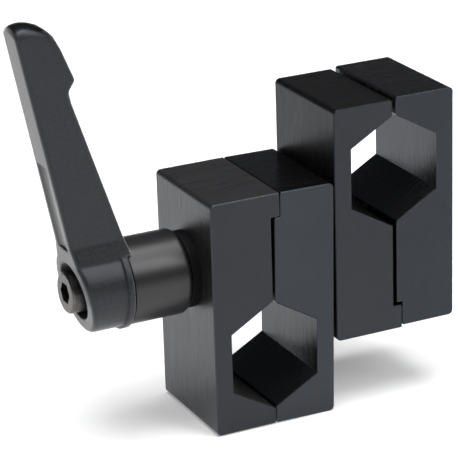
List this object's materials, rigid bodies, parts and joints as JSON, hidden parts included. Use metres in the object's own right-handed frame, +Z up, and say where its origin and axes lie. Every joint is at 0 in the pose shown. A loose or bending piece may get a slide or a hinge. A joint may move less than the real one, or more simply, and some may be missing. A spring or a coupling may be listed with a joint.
{
  "type": "swivel rod clamp",
  "caption": "Swivel clamp that joins hexagonal rods at any angle, with split aluminium jaws that an adjustable lever draws together on its screw.",
  "frame": {"origin": "middle of the foot of the jaw beside the lever, on the plane that the standing clamp rests on", "axes": "+X along the screw away from the lever, +Y along the rod openings, +Z up from the foot"},
  "size_m": [0.0905, 0.0256, 0.0888],
  "materials": {
    "jaw_aluminium": "black anodised over a brushed surface",
    "lever_coating": "fine-textured black powder coat on die-cast zinc",
    "black_steel": "blackened turned steel",
    "stud_steel": "blackened rolled thread",
    "screw_steel": "black oxide, satin",
    "spring_steel": "bright spring wire",
    "washer_plastic": "black nylon disc",
    "nut_steel": "dark zinc plated"
  },
  "bodies": {
    "standing_jaw": {"clamp_a_lever_jaw": "jaw_aluminium", "thrust_washer": "black_steel"},
    "rocking_jaw_a": {"clamp_a_inner_jaw": "jaw_aluminium"},
    "swivel_carrier": {"swivel_washer": "washer_plastic"},
    "turned_clamp": {"clamp_b_inner_jaw": "jaw_aluminium"},
    "rocking_jaw_b": {"clamp_b_nut_jaw": "jaw_aluminium", "hexagon_nut": "nut_steel"},
    "screw": {"threaded_stud": "stud_steel", "lever_bush": "black_steel", "retaining_screw": "screw_steel", "lever_spring": "spring_steel"},
    "handle": {"lever_handle": "lever_coating"}
  },
  "joints": [
    {"name": "lever_turn", "type": "hinge", "parent": "standing_jaw", "child": "screw", "pos_m": [0, 0, 0.0326], "axis": [1, 0, 0], "range_deg": [-180, 15]},
    {"name": "handle_lift", "type": "slide", "parent": "screw", "child": "handle", "axis": [-1, 0, 0], "range_m": [0, 0.0024], "stiffness_N_per_m": 600, "springref_m": -0.001, "deforming": ["lever_spring"]},
    {"name": "jaw_a_rock", "type": "hinge", "parent": "standing_jaw", "child": "rocking_jaw_a", "pos_m": [0.0087, 0, 0.04745], "axis": [0, 1, 0], "range_deg": [-1.25, 0.12]},
    {"name": "clamp_draw", "type": "slide", "parent": "standing_jaw", "child": "swivel_carrier", "axis": [1, 0, 0], "range_m": [-0.00003, 0.00032]},
    {"name": "swivel", "type": "hinge", "parent": "swivel_carrier", "child": "turned_clamp", "pos_m": [0.0212, 0, 0.0326], "axis": [1, 0, 0], "continuous": true},
    {"name": "jaw_b_rock", "type": "hinge", "parent": "turned_clamp", "child": "rocking_jaw_b", "pos_m": [0.0366, 0, 0.01752], "axis": [0, -1, 0], "range_deg": [-1.25, 0.12]}
  ],
  "couplings": [
    {"joint": "jaw_a_rock", "follows": "lever_turn", "ratio": 0.0067},
    {"joint": "jaw_b_rock", "follows": "lever_turn", "ratio": 0.0067},
    {"joint": "clamp_draw", "follows": "lever_turn", "m_per_rad": -0.0000995}
  ]
}
